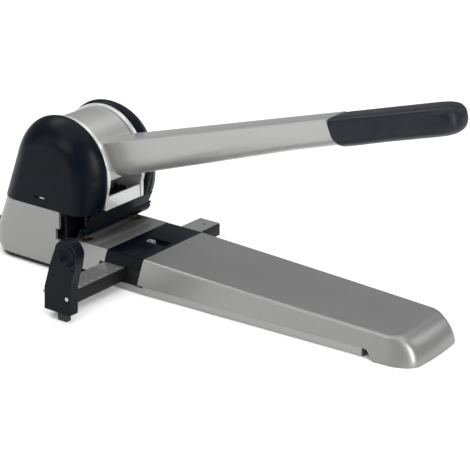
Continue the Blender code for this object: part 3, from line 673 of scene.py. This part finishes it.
def make_lever(mats):
    pale = mats["pale_lacquer"]
    end = GRIP_START_Y + 0.6
    rings = []
    for y in steps(-4.0, end, 60):
        lean = LEVER_LEAN + (GRIP_EDGE_LEAN - LEVER_LEAN) * ease((-230.0 - y) / 57.0)
        half, depth = 20.0 + 1.8 * y / ARM_LENGTH, 40.4 + 13.7 * y / ARM_LENGTH
        rings.append(lever_section(y, half, depth, lean))
    rings.append(lever_section(end - 0.4, 17.2, 25.2, GRIP_EDGE_LEAN, 0.8))
    rings.append(lever_section(end - 0.6, 13.5, 19.0, GRIP_EDGE_LEAN, 4.0))
    rings.append(lever_section(-300.0, 13.5, 19.0, GRIP_EDGE_LEAN, 4.0))
    arm = loft("lever_arm_fine", rings, pale, 40.0)
    seat = circle(PIVOT_Y, PIVOT_Z, DRUM_RADIUS + GAP, 180)
    carve(arm, [prism("round", seat, "X", -40, 40, pale)])
    finish_piece(arm, "lever", "lever_arm")
    make_grip(mats)
    make_drum(mats)


GRIP_TABLE = [(-288.0, 17.6, 27.0, 0.6), (-288.6, 18.2, 28.0, 0.3), (-291.0, 18.6, 28.6, 0.1),
              (-330.0, 18.8, 28.8, 0.0), (-370.0, 18.9, 28.8, 0.0), (-395.0, 18.8, 28.6, 0.0),
              (-404.0, 18.3, 27.8, 0.5), (-410.0, 17.2, 26.2, 1.4), (-415.0, 15.4, 23.6, 2.8),
              (-419.0, 12.6, 19.6, 5.0), (-421.6, 9.0, 14.2, 7.8), (-423.0, 4.6, 7.4, 11.2)]


def make_grip(mats):
    rings = []
    stations = [-288.0, -288.2, -288.5, -289.0, -290.0] + steps(-292.0, -398.0, 40)
    stations += steps(-400.0, -416.0, 16) + steps(-416.5, -423.0, 14)
    for y in stations:
        half, depth, drop = smooth_table([(-row[0], *row[1:]) for row in GRIP_TABLE], -y)
        lean = GRIP_EDGE_LEAN + (LEVER_LEAN - GRIP_EDGE_LEAN) * ease((-290.0 - y) / 60.0)
        rings.append(lever_section(y, half, depth, lean, drop, min(7.0, half * 0.5)))
    grip = loft("lever_grip_fine", rings, mats["grip_plastic"], 50.0)
    finish_piece(grip, "lever", "lever_grip")


def make_drum(mats):
    pale, steel = mats["pale_lacquer"], mats["bright_steel"]
    start, end = -12.0, 184.7
    outline = arc(PIVOT_Y, PIVOT_Z, DRUM_RADIUS, start, end, 150)
    outline += arc(PIVOT_Y, PIVOT_Z, DRUM_RADIUS - 3.0, end, start, 150)
    drum = prism("drum_skin_fine", outline, "X", -DRUM_HALF, DRUM_HALF, pale, 50.0)
    round_edges(drum, 0.8, 50.0)
    finish_piece(drum, "lever", "drum_skin")
    for side, word in ((-1, "left"), (1, "right")):
        low, high = sorted((side * 21.0, side * 24.5))
        outline = arc(PIVOT_Y, PIVOT_Z, DRUM_RADIUS - 3.3, start, end, 100)
        outline += arc(PIVOT_Y, PIVOT_Z, 16.0, 215, 325, 20)
        cheek = prism(f"hub_cheek_{word}_fine", outline, "X", low, high, steel)
        cuts = [prism("bore", circle(PIVOT_Y, PIVOT_Z, 8.3), "X", low - 2, high + 2, steel)]
        for angle in (40, 90, 140):
            cuts.append(prism("light", circle(PIVOT_Y + 34 * cos(radians(angle)),
                                              PIVOT_Z + 34 * sin(radians(angle)), 8.0),
                              "X", low - 2, high + 2, steel))
        carve(cheek, cuts)
        round_edges(cheek, 0.4, 50.0)
        finish_piece(cheek, "lever", f"hub_cheek_{word}")
        make_crank(side, word, mats["blackened_steel"])
    axle = [[(x, a, b) for a, b in circle(PIVOT_Y, PIVOT_Z, r)]
            for x, r in ((-50.0, 7.0), (-49.0, 8.0), (49.0, 8.0), (50.0, 7.0))]
    finish_piece(loft("lever_axle_fine", axle, steel), "lever", "lever_axle")


def make_crank(side, word, steel):
    low, high = sorted((side * 44.6, side * 49.0))
    outline = arc(PIVOT_Y, PIVOT_Z, 14.0, -100, 100, 40) + arc(0, PIVOT_Z, 6.0, 100, 260, 24)
    crank = prism(f"crank_{word}_fine", outline, "X", low, high, steel)
    carve(crank, [prism("bore", circle(PIVOT_Y, PIVOT_Z, 8.3), "X", low - 2, high + 2, steel)])
    round_edges(crank, 0.6, 50.0)
    finish_piece(crank, "lever", f"crank_{word}")

    ends = ((34.5, 2.4), (35.1, 3.0), (44.3, 3.0))
    rings = [[(side * x, a, b) for a, b in circle(0, PIVOT_Z, r)] for x, r in ends]
    finish_piece(loft(f"crank_pin_{word}_fine", rings, steel), "lever", f"crank_pin_{word}")

    outline = arc(PIVOT_Y, PIVOT_Z, 10.5, 20, 340, 60) + arc(PIVOT_Y, PIVOT_Z, 6.6, 340, 20, 60)
    clip = prism(f"axle_clip_{word}_fine", outline, "X", *sorted((side * 50.3, side * 52.0)), steel)
    round_edges(clip, 0.3, 50.0)
    finish_piece(clip, "lever", f"axle_clip_{word}")


def make_punches(mats):
    steel = mats["blackened_steel"]
    tip, top = 44.0, 92.0 - GAP
    for side, word in ((-1, "left"), (1, "right")):
        body = f"punch_{word}"
        bevelled(f"punch_holder_{word}", 0.5, body, steel)
        ends = ((tip, 2.2), (tip, 2.9), (tip + 0.2, 3.0), (top - 3.0, 3.0), (top - 2.6, 3.0), (top, 3.0))
        x = side * PUNCH_X
        rings = [[(a, b, z) for a, b in circle(x, 0, r)] for z, r in ends]
        pin = loft(f"punch_pin_{word}_fine", rings, steel)
        carve(pin, [prism("hollow", circle(0, tip - 1.2, 2.0), "X", x - 4, x + 4, steel)])
        finish_piece(pin, body, f"punch_pin_{word}")


# ------------------------------------------------------------------ presser

def make_presser(mats):
    slate, steel = mats["slate_plastic"], mats["blackened_steel"]
    thick, rear_y = 2.0, 11.4
    sole = PRESSER_Z - PRESSER_RADIUS
    lower = arc(PRESSER_Y, PRESSER_Z, PRESSER_RADIUS, 180, 270, 48)
    upper = arc(PRESSER_Y, PRESSER_Z, PRESSER_RADIUS - thick, 270, 180, 48)
    outline = lower + [(rear_y, sole), (rear_y, sole + thick)] + upper
    presser = prism("paper_presser_fine", outline, "X", -PRESSER_HALF, PRESSER_HALF, slate, 50.0)
    cutters = []
    for side in (-1, 1):
        x = side * PUNCH_X
        cutters.append(block("slit", (x - 3.7, -5.5, 30), (x + 3.7, 4.2, 56), slate))
        cutters.append(block("ear", (min(side * 54.0, side * 70.0), -9.0, 47.5),
                             (max(side * 54.0, side * 70.0), -5.4, 49.5), slate))
    carve(presser, cutters)
    round_edges(presser, 0.5, 50.0)
    finish_piece(presser, "presser", "paper_presser")

    bevelled("rod_bracket", 0.6, "base", mats["black_plastic"])
    for side, word in ((-1, "left"), (1, "right")):
        x = side * 14.0
        ends = ((39.4, 2.0), (81.4, 2.0), (82.0, 1.4))
        rings = [[(a, b, z) for a, b in circle(x, 6.0, r)] for z, r in ends]
        finish_piece(loft(f"presser_rod_{word}_fine", rings, steel), "presser", f"presser_rod_{word}")
        make_spring(f"presser_spring_{word}", x, 6.0, steel)


def make_spring(node, x, y, steel):
    """Coil spring on a guide rod under the bracket, built at one length with a mesh of its own."""
    wire, mean, low, high = 0.5, 3.6, 39.6, 71.7
    turns, per_turn, sides = 6, 48, 12
    pitch = (high - low - 2 * wire) / turns
    rings = []
    for i in range(turns * per_turn + 1):
        angle = 2 * pi * i / per_turn
        center_z = low + wire + pitch * i / per_turn
        rings.append([(x + cos(angle) * (mean + a), y + sin(angle) * (mean + a), center_z + b)
                      for a, b in circle(0, 0, wire, sides)])
    spring = loft(f"{node}_fine", rings, steel, 60.0)
    finish_piece(spring, "presser", node)
    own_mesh(spring)


# ------------------------------------------------------------------ paper guide

def make_guide(mats):
    steel, black = mats["bright_steel"], mats["black_plastic"]
    low, high = (BAR_START_X, BAR_Y0, 19.0), (BAR_END_X, BAR_Y1, BAR_TOP_Z)
    bar = block("slide_bar_fine", low, high, steel)
    hole = circle(97, -51, 2.0)
    cutters = [loft("bar_hole", [[(a, b, z) for a, b in hole] for z in (15, 26)], steel)]
    for i in range(12):
        x = -140.0 + 10.0 * i
        tick_y = BAR_Y0 + 1.5
        cutters.append(block("tick", (x - 0.2, tick_y, 21.8), (x + 0.2, tick_y + 3.5, 23), black))
    carve(bar, cutters)
    round_edges(bar, 0.3, 50.0, 2)
    finish_piece(bar, "paper_guide", "slide_bar")
    bevelled("bar_trim", 0.4, "paper_guide", black)
    make_stop_arm(mats)
    bevelled("stop_foot", 0.8, "paper_guide", mats["black_rubber"])
    rings = [[(x, a, b) for a, b in circle(-80.0, 27.0, r)]
             for x, r in ((-160.3, 2.2), (-160.9, 2.1), (-161.2, 1.6))]
    finish_piece(loft("stop_arm_screw_fine", rings, steel), "paper_guide", "stop_arm_screw")


def make_stop_arm(mats):
    """Tapered arm with a round head, a thumb dish and a small latch notch under it."""
    slate = mats["slate_plastic"]
    profile = [(-83.0, 9.3), (-48.4, 9.3), (-49.7, 33.6), (-54.6, 47.9), (-58.9, 60.7), (-66.6, 78.6)]
    profile += arc(-80.4, 74.6, 14.6, 14, 176, 40)
    profile += [(-92.2, 61.6), (-89.2, 54.5), (-84.5, 38.3)]
    arm = prism("stop_arm_fine", profile, "X", -160.0, STOP_FACE_X, slate)
    bm = bmesh.new()
    dish_radius, dish_depth = 15.0, 4.5
    bmesh.ops.create_uvsphere(bm, u_segments=96, v_segments=64, radius=dish_radius * MM)
    dish = add_mesh("dish", bm, slate)
    dish.location = [c * MM for c in (-160.0 - dish_radius + dish_depth, -82.0, 73.0)]
    notch = prism("notch", slot_outline(-88.6, 59.0, 4.6, 1.6), "X", -162.0, -158.8, slate)
    carve(arm, [dish, notch])
    round_edges(arm, 1.1, 55.0, 4)
    finish_piece(arm, "paper_guide", "stop_arm")


# ------------------------------------------------------------------ stage

def make_stage():
    bpy.ops.mesh.primitive_plane_add(size=16.0, location=(0, 0, 0))
    floor = bpy.context.object
    floor.name = "floor"
    paper = new_material("pale_floor", (0.93, 0.93, 0.93), 0.9, 0.0, Specular_IOR_Level=0.1)
    floor.data.materials.append(paper)

    world = bpy.data.worlds.new("studio")
    world.use_nodes = True
    background = world.node_tree.nodes["Background"]
    background.inputs["Color"].default_value = (0.95, 0.97, 1.0, 1.0)
    background.inputs["Strength"].default_value = 0.30
    bpy.context.scene.world = world
    bpy.context.scene.view_settings.view_transform = "Standard"

    add_area("overhead", (0.2, 0.2, 2.8), (0.1, 0.1, 0.0), 4.0, 88.0)
    add_area("key", (-1.5, 0.1, 1.25), (0, 0.0, 0.1), 0.8, 9.0)
    add_area("left_rear", (-1.4, 0.8, 0.6), (0, -0.15, 0.05), 1.3, 6.5)
    add_area("right_front", (1.5, -1.2, 1.1), (0, -0.35, 0.05), 0.7, 4.0)
    add_area("front", (-0.60, -2.0, 0.80), (0, -0.1, 0.1), 0.35, 34.0, 1.5)
    add_area("top_rear", (0.1, 0.9, 1.35), (0, 0.03, 0.15), 0.35, 3.0)


def add_area(name, place, aim, size, power, height=None):
    """A soft box, square unless a height is given."""
    light = bpy.data.lights.new(name, "AREA")
    light.energy = power
    light.shape = "RECTANGLE"
    light.size = size
    light.size_y = height or size
    obj = bpy.data.objects.new(name, light)
    obj.location = place
    obj.rotation_euler = (Vector(aim) - Vector(place)).to_track_quat("-Z", "Y").to_euler()
    bpy.context.scene.collection.objects.link(obj)


def make_camera():
    target = Vector((12.66, -158.0, 60.0)) * MM
    direction = Vector((0.7441, 0.5609, -0.3631)).normalized()
    data = bpy.data.cameras.new("camera")
    data.sensor_width = 36.0
    data.lens = 122.55
    data.clip_end = 50.0
    camera = bpy.data.objects.new("camera", data)
    camera.location = target - direction * 1656.68 * MM
    camera.rotation_euler = direction.to_track_quat("-Z", "Y").to_euler()
    bpy.context.scene.collection.objects.link(camera)
    bpy.context.scene.camera = camera


def main():
    mats = make_materials()
    slots = {row["node"]: row["material_slot"] for row in frame["record"]["subparts"]}
    for name, obj in nodes.items():
        obj.data.materials.clear()
        obj.data.materials.append(mats[slots[name]])
    make_foot(mats)
    make_base(mats)
    make_head_housing(mats)
    make_caps(mats)
    make_frame(mats)
    make_bushes(mats)
    make_lever(mats)
    make_punches(mats)
    make_presser(mats)
    make_guide(mats)
    make_stage()
    make_camera()


main()
